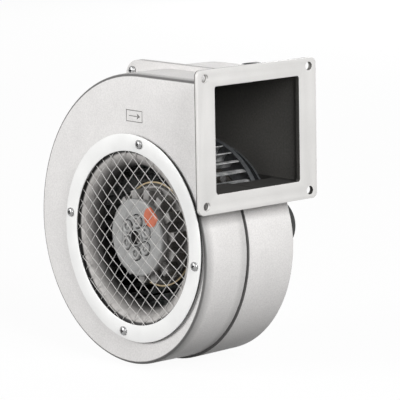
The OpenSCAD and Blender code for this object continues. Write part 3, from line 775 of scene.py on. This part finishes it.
@dataclass
class Housing:
    """The two cast halves of the scroll, with their rib and lugs, and the holes' places.

    A row of holes is the radius of its circle and the angles on it.
    """

    bench: Bench
    scroll: Scroll = field(default_factory=Scroll)
    front: float = 3.0
    seam: float = 44.0
    gap: float = 0.9
    rear: float = 91.0
    duct_end: float = 92.2
    flange_gap: float = 0.15
    spare: float = 8.0
    edge: float = 2.6
    seam_edge: float = 0.4
    foot_round: float = 2.0
    lip: float = 2.0
    draught: float = 1.0
    room: float = 75.0
    rib_h: float = 3.5
    rib_t: float = 3.0
    rib_left: float = -37.5
    rib_round: float = 14.3
    inlet_steps: tuple = ((66.3, 4.0), (71.6, 1.0))
    ring_holes: tuple = (74.1, (80.9, 170.9, 260.9, 350.9))
    ring_hole_r: float = 2.0
    boss: tuple = (4.5, 13.5)
    joints: tuple = ((-43.5, 121.0), (-121.5, 8.0), (-91.2, -72.0))
    joint_r: float = 2.2
    lug_r: float = 7.0
    lug_root: float = 18.0
    extra_wall: float = 0.1
    motor_hole_r: float = 25.0
    plate_holes: tuple = (58.0, (45, 135, 225, 315))
    plate_hole_r: float = 2.1
    cap_holes: tuple = (27.8, (30, 150, 270))
    cap_hole_r: float = 1.2
    mark: tuple = (2.9, 93.5, 19.0, 9.0)
    mark_line: float = 0.55
    mark_sunk: float = 0.4

    def half(self, start: float, end: float, grow: float, draught: float) -> Piece:
        """Casts the solid block of one half, its outer edge rounded.

        Args:
            start: Depth of the seam side.
            end: Depth of the outer side.
            grow: How far the outline stands out at the seam.
            draught: How far the block narrows towards its outer side.

        Returns:
            The block, cut off where the flange begins.
        """
        bench = self.bench
        outline = self.scroll.outer(grow, self.duct_end + self.spare)
        block = bench.block(outline, start, end, draught)
        bench.bevel(block, end, self.edge, 5)
        bench.bevel(block, start, self.seam_edge, 2)
        joint = self.duct_end - self.flange_gap
        bench.cut(block, bench.brick((joint, -10, -200), (joint + 60, 120, 200)))
        return block

    def rib(self, start: float, end: float) -> Piece:
        """Makes the clamping rib along the top wall, round at its left end."""
        top = self.scroll.top() + self.rib_h
        low = self.scroll.top() - 12
        left = self.rib_left - self.rib_round
        outline = Outline(left, top - self.rib_round, (
            Arc(self.rib_left, top - self.rib_round, -90),
            Line(self.duct_end, top),
            Line(self.duct_end, low),
            Line(left, low),
            Line(left, top - self.rib_round),
        ))
        return self.bench.block(outline, start, end)

    def lug(self, x: float, z: float, start: float, end: float) -> Piece:
        """Makes a lug for a clamping screw that runs into the scroll's wall."""
        reach = math.hypot(x, z)
        back = reach - self.lug_root
        outline = Outline(reach, -self.lug_r, (
            Arc(reach, 0, 180),
            Line(back, self.lug_r + 2),
            Line(back, -self.lug_r - 2),
            Line(reach, -self.lug_r),
        ))
        piece = self.bench.block(outline, start, end)
        self.bench.turn(piece, math.degrees(math.atan2(z, x)))
        return piece

    def rib_and_lugs(self, half: Piece, start: float, end: float) -> None:
        """Adds the rib and the lugs to a half."""
        self.bench.cut(half, self.rib(start, end), "UNION")
        for x, z in self.joints[1:]:
            self.bench.cut(half, self.lug(x, z, start, end), "UNION")

    def hollow(self, half: Piece, wall: float, start: float, end: float) -> None:
        """Hollows a half out, with a small fillet where the wall meets the face; the hollow's faces
        get painted shade.
        """
        bench = self.bench
        core = bench.block(self.scroll.inner(wall, self.duct_end + self.spare), start, end)
        bench.bevel(core, end, self.foot_round, 3)
        bench.carve(half, core)
        bench.carve(half, bench.rod(self.room, min(start, end), max(start, end), sides=120))

    def drill(self, half: Piece, radius: float, start: float, end: float,
              places: Sequence[tuple[float, float]]) -> None:
        """Drills holes along the axis."""
        for x, z in places:
            self.bench.cut(half, self.bench.rod(radius, start, end, x, z, sides=24))

    def build_front(self) -> None:
        """Makes the front half with its inlet, bosses and direction mark."""
        bench = self.bench
        seam, face = self.seam - self.gap / 2, self.front
        half = self.half(seam, face, 0.0, 0.0)
        self.rib_and_lugs(half, seam - self.rib_t, seam)
        self.hollow(half, self.scroll.wall, seam + 1, face + self.scroll.wall)
        for radius, depth in self.inlet_steps:
            bench.cut(half, bench.rod(radius, face - 1, face + depth, sides=160))
        places = on_circle(*self.ring_holes)
        boss_r, boss_end = self.boss
        for x, z in places:
            bench.cut(half, bench.rod(boss_r, face + 2.5, boss_end, x, z, sides=32), "UNION")
        self.drill(half, self.ring_hole_r, face - 1, boss_end + 1, places)
        self.drill(half, self.joint_r, seam - 4, seam + 1, self.joints)
        self.direction_mark(half)
        bench.fit(half, "front_half", CAST, "housing", "housing_front", inside=HOLLOW_SHADE)

    def direction_mark(self, half: Piece) -> None:
        """Engraves a frame with an arrow in the front face, with painted shade on the engraving's
        faces.
        """
        bench = self.bench
        (x, z, width, height), line = self.mark, self.mark_line
        top, foot = self.front - 1, self.front + self.mark_sunk
        right, up = width / 2, height / 2
        border = bench.brick((x - right, top, z - up), (x + right, foot, z + up))
        bench.cut(border, bench.brick((x - right + line, top - 1, z - up + line),
                                      (x + right - line, foot + 1, z + up - line)))
        stem = bench.brick((x - 6, top, z - line / 2), (x + 3.5, foot, z + line / 2))
        head = bench.block(Outline(x + 3, z - 2.2, (
            Line(x + 7, z), Line(x + 3, z + 2.2), Line(x + 3.9, z), Line(x + 3, z - 2.2))),
            foot, top)
        for part in (border, stem, head):
            bench.carve(half, part)

    def build_rear(self) -> None:
        """Makes the rear half, which carries the motor."""
        bench = self.bench
        seam, back, wall = self.seam + self.gap / 2, self.rear, self.scroll.wall
        half = self.half(seam, back, self.lip, self.draught)
        self.rib_and_lugs(half, seam, seam + self.rib_t)
        self.hollow(half, wall - self.lip / 2, seam - 1, back - wall - self.extra_wall)
        bench.cut(half, bench.rod(self.motor_hole_r, back - 5, back + 1, sides=96))
        self.drill(half, self.plate_hole_r, back - 5, back + 1, on_circle(*self.plate_holes))
        self.drill(half, self.cap_hole_r, back - 5, back + 1, on_circle(*self.cap_holes))
        self.drill(half, self.joint_r, seam - 1, seam + 6, self.joints)
        bench.fit(half, "rear_half", CAST, "housing", "housing_rear", inside=HOLLOW_SHADE)

    def build(self) -> None:
        """Makes both halves."""
        self.build_front()
        self.build_rear()


# ---------------------------------------------------------------- outlet


@dataclass
class OutletFlange:
    """The square flange with its bolt holes, and the tabs that rivet it to the duct."""

    bench: Bench
    low: Vector
    high: Vector
    corner: float = 4.5
    opening: tuple = (83.4, 79.8)
    opening_shift: tuple = (-0.4, 0.7)
    opening_corner: float = 2.0
    bolts: tuple = (102.5, 94.0)
    bolt_r: float = 3.25
    thick: float = 3.5
    tab: tuple = (12.0, 16.0, 1.5)
    tab_sunk: float = 0.8
    tab_in: float = 0.5
    top_tabs: tuple = (-22.0, 24.0)
    duct: tuple = (-41.9, 46.1, 42.75, 44.75)
    shade_strip_t: float = 0.9

    def plate(self, width: float, height: float, corner: float, back: float, front: float,
              shift: tuple = (0.0, 0.0)) -> Piece:
        """Makes a plate across the outlet with round corners.

        Args:
            width: Size along the blower's axis.
            height: Size up the blower.
            corner: Radius of its corners.
            back: Where its back lies along the outlet's axis.
            front: Where its front lies along the outlet's axis.
            shift: How far its middle lies from the bolt holes' middle.

        Returns:
            The plate.
        """
        bench = self.bench
        bench.clear()
        bpy.ops.mesh.primitive_plane_add(size=1, rotation=(0, math.pi / 2, 0))
        piece = bench.new()
        piece.scale = (1, width * MM, height * MM)
        piece.location = Vector((back, *shift)) * MM
        bench.edit(bench.settle(piece))
        bpy.ops.mesh.bevel(offset=corner * MM, segments=8, affect="VERTICES")
        bench.pick()
        bench.stroke(front - back, 0, 0)
        bench.seal()
        return piece

    def bolt_hole(self, y: float, z: float) -> Piece:
        """Makes the cutter of one bolt hole."""
        self.bench.clear()
        bpy.ops.mesh.primitive_cylinder_add(
            vertices=40, radius=self.bolt_r * MM, depth=4 * self.thick * MM,
            location=(0, y * MM, z * MM), rotation=(0, math.pi / 2, 0))
        return self.bench.new()

    def tabs(self) -> list[Piece]:
        """Makes the four tabs that lie on the duct's outer faces."""
        bench = self.bench
        length, width, thick = self.tab
        sunk, half = self.tab_sunk, width / 2
        front, rear, top, rear_top = self.duct
        left, right = self.top_tabs
        spans = (((left - half, top - sunk), (left + half, top + thick)),
                 ((right - half, rear_top - sunk), (right + half, rear_top + thick)),
                 ((front - thick, -half), (front + sunk, half)),
                 ((rear - sunk, -half), (rear + thick, half)))
        made = []
        for low, high in spans:
            tab = bench.brick(bench.local(Vector((-self.thick - length, *low)) * MM),
                              bench.local(Vector((self.tab_in - self.thick, *high)) * MM))
            bench.soften(tab, 0.4)
            made.append(tab)
        return made

    def build(self) -> None:
        """Makes the flange: a plate with painted shade in a strip round the back of its edge, in
        its opening and in one side's bolt holes, and the tabs.
        """
        bench = self.bench
        width, height = ((high - low) / MM for low, high in zip(self.low.yz, self.high.yz))
        back, strip = -self.thick, self.shade_strip_t - self.thick
        slices = []
        for start, end in ((strip, 0), (back, strip)):
            part = self.plate(width, height, self.corner, start, end)
            # The opening's walls get painted shade.
            bench.carve(part, self.plate(*self.opening, self.opening_corner, back - 1, 1,
                                         self.opening_shift))
            # Bolt holes on one side get painted shade on their walls.
            for side, drill in ((-1, bench.cut), (1, bench.carve)):
                for up in (-1, 1):
                    drill(part, self.bolt_hole(side * self.bolts[0] / 2, up * self.bolts[1] / 2))
            slices.append(part)
        bench.soften(slices[0], 0.3, segments=3)
        # The back slice's sides get painted shade, a shadow line round the plate's back edge.
        for face in slices[1].data.polygons:
            face.material_index = int(abs(face.normal.x) < 0.5)
        bench.fit(bench.joined([*slices, *self.tabs()]), "outlet_plate", FLANGE, "housing",
                  "outlet_flange", inside=HOLLOW_SHADE)


# ---------------------------------------------------------------- inlet


@dataclass
class Inlet:
    """The nozzle, the guard of woven wire, and the ring that clamps it."""

    bench: Bench
    ring: tuple = (66.8, 80.0, 1.2)
    mouth: float = 66.0
    lip: float = 71.4
    throat: float = 54.5
    deep: float = 13.0
    sheet: float = 1.0
    front: float = 3.0
    nozzle_end: float = 18.0
    wire_r: float = 0.28
    reach: float = 71.3
    pitches: tuple = (8.85, 9.05)
    firsts: tuple = (-1.86, -3.96)
    across: tuple = (53.8, -42.1)
    dome: float = 3.5
    dome_r: float = 65.5
    dome_power: float = 1.7
    shortest: float = 15.0
    bend_step: float = 2.2
    weave: float = 0.22

    def build_ring(self) -> None:
        """Makes the clamping ring with its edges rolled a little."""
        inner, outer, thick = self.ring
        profile = [(inner, 0), (outer, 0), (outer, thick), (inner, thick)]
        ring = self.bench.turned(profile, steps=180, rounding=0.4)
        self.bench.fit(ring, "clamping_ring", RING, "housing", "inlet_ring")

    def build_nozzle(self) -> None:
        """Makes the rounded inlet nozzle from one thickness of sheet."""
        sheet, end = self.sheet, self.nozzle_end
        turns = [math.radians(a) for a in range(0, 91, 6)]
        face, back = ([(self.mouth - (self.mouth - self.throat - inward) * math.sin(t),
                        self.front + self.deep - (self.deep - inward) * math.cos(t)) for t in way]
                      for inward, way in ((0, turns), (sheet, reversed(turns))))
        profile = [(self.lip, self.front), *face, (self.throat, end), (self.throat + sheet, end),
                   *back, (self.lip, self.front + sheet)]
        nozzle = self.bench.turned(profile, steps=144)
        self.bench.fit(nozzle, "nozzle", NOZZLE, "housing", "inlet_nozzle", angle=50)

    def bulge(self, x: float, z: float) -> float:
        """Gives how far the guard stands out at a place."""
        share = min(1.0, math.hypot(x, z) / self.dome_r)
        return self.dome * (1 - share**self.dome_power)

    def wire(self, family: int, index: int) -> Piece | None:
        """Bends one guard wire to the guard's dome, a little over and under those that cross it.

        Args:
            family: 0 for the wires that rise to the left, 1 for those that rise to the right.
            index: The wire's number from the family's first one.

        Returns:
            The wire, or None where it would be too short.
        """
        bench, other = self.bench, 1 - family
        offset = self.firsts[family] + index * self.pitches[family]
        half = math.sqrt(max(0.0, self.reach**2 - offset**2))
        if half < self.shortest:
            return None
        aside, aside_other = (Vector((math.cos(way), math.sin(way)))
                              for way in (math.radians(self.across[f]) for f in (family, other)))
        along = Vector((-aside.y, aside.x))
        start = aside * offset - along * half
        piece = bench.pen(start.x, (self.ring[2] + self.front) / 2, start.y)
        bench.stroke(2 * half * along.x, 0, 2 * half * along.y)
        bench.pick()
        bpy.ops.mesh.subdivide(number_cuts=round(2 * half / self.bend_step))
        bench.done()
        side = (1 if family == 0 else -1) * (-1) ** index
        for vertex in piece.data.vertices:
            point = bench.local(vertex.co)
            place = Vector((point.x, point.z)).dot(aside_other)
            phase = math.pi * (place - self.firsts[other]) / self.pitches[other]
            rise = side * self.weave * math.cos(phase)
            vertex.co.y += (rise - self.bulge(point.x, point.z)) * MM
        bench.take(piece)
        bpy.ops.object.convert(target="CURVE")
        curve = bpy.context.object.data
        curve.bevel_depth = self.wire_r * MM
        curve.bevel_resolution = 1
        curve.use_fill_caps = True
        bpy.ops.object.convert(target="MESH")
        return bpy.context.object

    def build_guard(self) -> None:
        """Weaves the guard."""
        wires = []
        for family in (0, 1):
            count = math.floor(self.reach / self.pitches[family]) + 1
            wires += [self.wire(family, index) for index in range(-count, count + 1)]
        guard = self.bench.joined([wire for wire in wires if wire])
        self.bench.fit(guard, "guard_weave", WIRE, "housing", "guard_mesh", angle=60)

    def build(self) -> None:
        """Makes the ring, the nozzle and the guard."""
        self.build_ring()
        self.build_nozzle()
        self.build_guard()


# ---------------------------------------------------------------- screws


@dataclass
class Screws:
    """A group of equal pan-head screws with a cross recess.

    Attributes:
        radius: Radius of the heads.
        height: Height of the heads.
        shank: Radius of the shanks.
        length: Length of the shanks.
        depth: Depth of the surface that the heads stand on.
        way: 1 where the heads look forwards, -1 where they look backwards.
    """

    bench: Bench
    radius: float
    height: float
    shank: float
    length: float
    depth: float
    way: int = 1
    dome: tuple = ((0, 1), (0.45, 0.985), (0.72, 0.88), (0.92, 0.66), (1, 0.38), (1, 0.08),
                   (0.96, 0))
    recess: tuple = (0.52, 0.13)
    recess_span: tuple = (1.2, 0.45)
    first_turn: float = 17.0
    turn_step: float = 31.0

    def screw(self, x: float, z: float, turn: float) -> Piece:
        """Makes one screw at a place, with its recess turned by some degrees."""
        bench, depth, way = self.bench, self.depth, self.way
        profile = [(r * self.radius, depth - way * h * self.height) for r, h in self.dome]
        profile += [(self.shank, depth), (self.shank, depth + way * self.length),
                    (0, depth + way * self.length)]
        screw = bench.turned(profile, x, z, steps=32)
        arm, half = (share * self.radius for share in self.recess)
        start, end = sorted(depth - way * share * self.height for share in self.recess_span)
        for angle in (turn, turn + 90):
            slot = bench.brick((x - arm, start, z - half), (x + arm, end, z + half))
            bench.turn(slot, angle, x, z)
            bench.carve(screw, slot)
        return screw

    def build(self, name: str, node: str, places: Sequence[tuple[float, float]]) -> None:
        """Makes the screws at their places and fits them in place of their node."""
        made = [self.screw(x, z, self.first_turn + self.turn_step * number)
                for number, (x, z) in enumerate(places)]
        # The cross recesses get the black finish: painted shade.
        self.bench.fit(self.bench.joined(made), name, SCREW, "housing", node, angle=40,
                       inside=BLACK_AND_SHADE)


# ---------------------------------------------------------------- impeller


@dataclass
class Impeller:
    """The wheel: curved blades between two rims."""

    bench: Bench
    radius: float = 70.0
    blade_depth: float = 13.0
    sweep: float = 75.0
    curl: float = 0.96
    blade_step: float = 7.5
    blade_t: float = 0.6
    start: float = 16.3
    end: float = 76.3
    sheet: float = 0.8
    rim_w: float = 4.0
    rim_r: float = 70.5
    rim_past: float = 0.2
    plate_hole: float = 41.0
    count: int = 42

    def build_blades(self) -> None:
        """Bends one blade and repeats it round the wheel."""
        bench = self.bench
        inner = self.radius - self.blade_depth
        curve = self.blade_depth * self.curl
        out, back = curve + self.blade_t / 2, curve - self.blade_t / 2
        end_way = math.radians(90 - self.sweep)
        blade = bench.block(Outline(inner, out - curve, (
            Arc(inner, -curve, -self.sweep),
            Line(inner + back * math.cos(end_way), -curve + back * math.sin(end_way)),
            Arc(inner, -curve, self.sweep),
            Line(inner, out - curve),
        ), self.blade_step), self.start + self.sheet, self.end - self.sheet)
        bench.fit(bench.around(blade, self.count), "blades", BLADE, "rotor", "impeller_blades",
                  angle=40)

    def build_rims(self) -> None:
        """Turns the front rim and the back plate, each with its edge rolled over the blades."""
        inner = self.radius - self.blade_depth - self.rim_past
        for hole, face, into, name, node in (
                (inner, self.start, 1, "front_rim", "impeller_front_ring"),
                (self.plate_hole, self.end, -1, "back_plate", "impeller_back_plate")):
            sheet, rim = face + into * self.sheet, face + into * self.rim_w
            profile = [(hole, face), (self.rim_r, face), (self.rim_r, rim), (self.radius, rim),
                       (self.radius, sheet), (hole, sheet)]
            made = self.bench.turned(profile, steps=144, rounding=0.15)
            self.bench.fit(made, name, SHADED_SHEET, "rotor", node, angle=50)

    def build(self) -> None:
        """Makes the wheel."""
        self.build_blades()
        self.build_rims()


# ---------------------------------------------------------------- rotor


@dataclass
class Rotor:
    """The motor's rotor as seen through the inlet: nose, sticker and cooling fins."""

    bench: Bench
    nose_y: float = 4.8
    nose_r: float = 30.0
    nose_h: float = 3.0
    nose_edge: float = 2.0
    bore_r: float = 4.5
    lobe_circle: float = 12.6
    lobe_count: int = 6
    lobe_start: float = 25.0
    fin_count: int = 14
    fin_start: float = 7.8
    fin_end: float = 27.0
    disc_r: float = 37.4
    disc_t: float = 2.5
    rim: tuple = (39.3, 40.6, 25.6, 26.6)
    fin_rise: float = 4.2
    fin_t: float = 7.0
    sticker: tuple = (17.4, 17.6)
    sticker_r: float = 7.6
    sticker_skin: tuple = (14, 0.02, 0.12)

    def lobe(self) -> Piece:
        """Turns one lobe of the casting: a rounded ring in a groove, about a shallow dish."""
        shape = ((0, -0.2), (1.3, -0.2), (1.8, 0.5), (2.3, 0.5), (2.7, -0.7), (3.4, -1.1),
                 (4.4, -1.0), (4.9, -0.3), (5.0, 0.9), (0, 0.9))
        profile = [(radius, self.nose_y + depth) for radius, depth in shape]
        return self.bench.turned(profile, x=self.lobe_circle, steps=40)

    def edge_profile(self, out: float) -> list[tuple[float, float]]:
        """Gives the nose's face and rounded edge, moved out by a distance."""
        flat, turn = self.nose_r - self.nose_edge, self.nose_edge + out
        turns = [math.radians(a) for a in range(0, 91, 15)]
        return [(flat + turn * math.sin(t), self.nose_y + self.nose_edge - turn * math.cos(t))
                for t in turns]

    def build_nose(self) -> None:
        """Makes the nose: a disc, its hub in a dished middle, and its six lobes, with painted shade
        in its bore and in the grooves round the lobes.
        """
        bench, face, end = self.bench, self.nose_y, self.nose_y + self.nose_h
        hub = [(self.bore_r, face - 0.7), (5.9, face - 0.9), (6.6, face - 0.2), (7.2, face + 0.8),
               (16.6, face + 0.8), (17.6, face)]
        nose = bench.turned(hub + self.edge_profile(0) + [(self.nose_r, end), (self.bore_r, end)],
                            rounding=0.2)
        bench.carve(nose, bench.rod(self.bore_r + 0.9, face - 2, end + 1))
        groove = bench.turned([(4.8, face - 1), (5.8, face - 1), (5.8, face + 1.5),
                               (4.8, face + 1.5)], x=self.lobe_circle, steps=40)
        bench.carve(nose, bench.around(groove, self.lobe_count, self.lobe_start))
        lobes = bench.around(self.lobe(), self.lobe_count, self.lobe_start)
        bench.fit(bench.joined([nose, lobes]), "nose", GREY_CASTING, "rotor", "rotor_nose",
                  angle=40, inside=BLACK_AND_SHADE)

    def build_sticker(self) -> None:
        """Makes the plain round sticker, which wraps over the nose's edge."""
        bench, face = self.bench, self.nose_y
        start, under, over = self.sticker_skin
        profile = [(start, face - over), *self.edge_profile(over),
                   *reversed(self.edge_profile(under)), (start, face - under)]
        skin = bench.turned(profile, steps=240)
        punch = bench.rod(self.sticker_r, face - 2, face + 1.4, *self.sticker, sides=72)
        bench.cut(skin, punch, "INTERSECT")
        bench.fit(skin, "round_sticker", STICKER, "rotor", "rotor_sticker")

    def build_fins(self) -> None:
        """Makes the cooling disc behind the nose, with its thick fins."""
        bench, edge, start, end = self.bench, self.disc_r, self.fin_start, self.fin_end
        hub, plate = self.nose_r - self.nose_edge, self.fin_end - self.disc_t
        disc = bench.turned([(4, start), (hub, start), (hub + 0.6, plate), (edge, plate),
                             (edge, end), (4, end)], rounding=0.5)
        fin = bench.brick((hub - 1, start + self.fin_rise, -self.fin_t / 2),
                          (edge - 1, end - 1, self.fin_t / 2))
        bench.soften(fin, 0.8, segments=3)
        fins = bench.around(fin, self.fin_count, 6)
        bench.fit(bench.joined([disc, fins]), "cooling_fins", DARK_PAINT, "rotor", "rotor_fins")

    def build_rim(self) -> None:
        """Turns the bright edge of the motor's shell, seen behind the fins."""
        inner, outer, front, back = self.rim
        profile = [(inner, front), (outer, front), (outer, back), (inner, back)]
        self.bench.fit(self.bench.turned(profile, rounding=0.2), "shell_rim", YELLOW_ZINC, "rotor")

    def build(self) -> None:
        """Makes the nose, its sticker, the cooling disc and the shell's edge."""
        self.build_nose()
        self.build_sticker()
        self.build_fins()
        self.build_rim()


# ---------------------------------------------------------------- studio


@dataclass(frozen=True)
class Studio:
    """The floor, the lamps, the world and the camera."""

    azimuth: float = 49.33
    height: float = 9.6
    roll: float = -1.05
    lens: float = 250.3
    place: tuple = (1.5110, -1.3562, 0.2960)
    aim: tuple = (-0.08, 0.0, -0.05)
    lamps: tuple = (("front_lamp", (-1.2, -2.6, 0.8), 76), ("side_lamp", (2.6, -0.4, 1.25), 98),
                    ("rear_lamp", (-1.6, 2.5, 0.1), 45))
    lamp_size: float = 1.6
    world_light: float = 0.1
    floor_span: float = 30.0
    floor_drop: float = 0.0005
    floor_grey: float = 0.05
    floor_glow: float = 0.95

    def camera(self) -> None:
        """Puts the camera where it sees the inlet and the outlet together."""
        data = bpy.data.cameras.new("camera")
        data.lens = self.lens
        data.sensor_width = 36
        camera = bpy.data.objects.new("camera", data)
        bpy.context.scene.collection.objects.link(camera)
        tilt = Matrix.Rotation(math.radians(self.azimuth), 4, "Z")
        tilt @= Matrix.Rotation(math.radians(90 - self.height), 4, "X")
        tilt @= Matrix.Rotation(math.radians(self.roll), 4, "Z")
        camera.matrix_world = Matrix.Translation(self.place) @ tilt
        bpy.context.scene.camera = camera

    def lamp(self, name: str, place: tuple, power: float) -> None:
        """Adds a soft square lamp that looks at the blower."""
        data = bpy.data.lights.new(name, "AREA")
        data.shape = "SQUARE"
        data.size = self.lamp_size
        data.energy = power
        lamp = bpy.data.objects.new(name, data)
        lamp.location = place
        aim = Vector(self.aim) - Vector(place)
        lamp.rotation_euler = aim.to_track_quat("-Z", "Y").to_euler()
        bpy.context.scene.collection.objects.link(lamp)

    def world(self) -> None:
        """Lights the scene evenly, and shows a bright ground behind it."""
        world = bpy.data.worlds.new("studio")
        bpy.context.scene.world = world
        graph = Graph.of(world)
        nodes = graph.tree.nodes
        light = graph.feed(nodes["Background"], {"Color": (1, 1, 1, 1),
                                                 "Strength": self.world_light})
        seen = graph.add("Background", {"Strength": 1.0})
        mix = graph.add("MixShader", {"Fac": graph.eye(), 1: light.outputs[0], 2: seen.outputs[0]})
        graph.feed(nodes["World Output"], {"Surface": mix.outputs[0]})

    def floor(self, level: float) -> None:
        """Lays a pale floor that keeps the blower's shadow."""
        Bench.clear()
        bpy.ops.mesh.primitive_plane_add(size=self.floor_span, location=(0, 0, level))
        floor = bpy.context.object
        floor.name = "floor"
        material = bpy.data.materials.new("floor")
        graph = Graph.of(material)
        nodes = graph.tree.nodes
        shader = graph.feed(nodes["Principled BSDF"], {
            "Base Color": (*(self.floor_grey,) * 3, 1), "Roughness": 0.9,
            "Specular IOR Level": 0.0})
        glow, black = (graph.add("Emission", {"Strength": strength}).outputs[0]
                       for strength in (self.floor_glow, 0.0))
        pick = graph.add("MixShader", {"Fac": graph.eye(), 1: black, 2: glow})
        both = graph.add("AddShader", {0: shader.outputs[0], 1: pick.outputs[0]})
        graph.feed(nodes["Material Output"], {"Surface": both.outputs[0]})
        floor.data.materials.append(material)

    def build(self) -> None:
        """Sets the scene up."""
        bpy.context.scene.view_settings.view_transform = "Standard"
        self.camera()
        self.world()
        for lamp in self.lamps:
            self.lamp(*lamp)
        self.floor(CAD_BOX[0][2] - self.floor_drop)


# ---------------------------------------------------------------- main


def dress_nodes(bench: Bench) -> None:
    """Paints the CAD nodes that are shown as they are."""
    for finish, names in NODE_FINISHES.items():
        for name in names:
            bench.paint(frame["nodes"][name], finish)
            log.info("%s: painted", name)


def ease_nodes(bench: Bench) -> None:
    """Eases the edges of the plain moulded pieces on the back."""
    for name, width in EASED_NODES.items():
        bench.fit(bench.eased(name, width), name + "_eased", PLASTIC, "housing", name)


def drive_screws(bench: Bench, housing: Housing) -> None:
    """Makes all the pan-head screws."""
    Screws(bench, 3.5, 2.2, 1.9, 12, 0.0).build(
        "ring_pan_screws", "ring_screws", on_circle(*housing.ring_holes))
    Screws(bench, 3.6, 2.4, 2.0, 11, 40.4).build(
        "clamping_screws", "joint_screws", housing.joints)
    Screws(bench, 4.0, 2.4, 1.85, 5.5, 91.0, -1).build(
        "motor_plate_screws", "plate_screws", on_circle(*housing.plate_holes))
    Screws(bench, 2.1, 1.6, 1.15, 5, 93.0, -1).build(
        "motor_cap_screws", "cap_screws", on_circle(*housing.cap_holes))
    Screws(bench, 2.4, 1.6, 1.3, 6, 108.0, -1).build(
        "box_lid_screws", "lid_screws", BOX_LID_HOLES)
    Screws(bench, 2.3, 1.6, 1.15, 11, 100.0, -1).build(
        "clip_screw", "lead_clip_screw", CLIP_HOLES)


def main() -> None:
    """Builds every sub-assembly, dresses it and sets the scene up."""
    logging.basicConfig(level=logging.INFO, format="%(message)s")
    bench = Bench(Vector(frame["joints"][0]["pos_m"]))
    housing = Housing(bench)
    low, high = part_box("outlet_flange")
    for assembly in (housing, OutletFlange(bench, low, high), Inlet(bench), Impeller(bench),
                     Rotor(bench)):
        assembly.build()
    drive_screws(bench, housing)
    ease_nodes(bench)
    dress_nodes(bench)
    Studio().build()


if __name__ == "__main__":
    main()
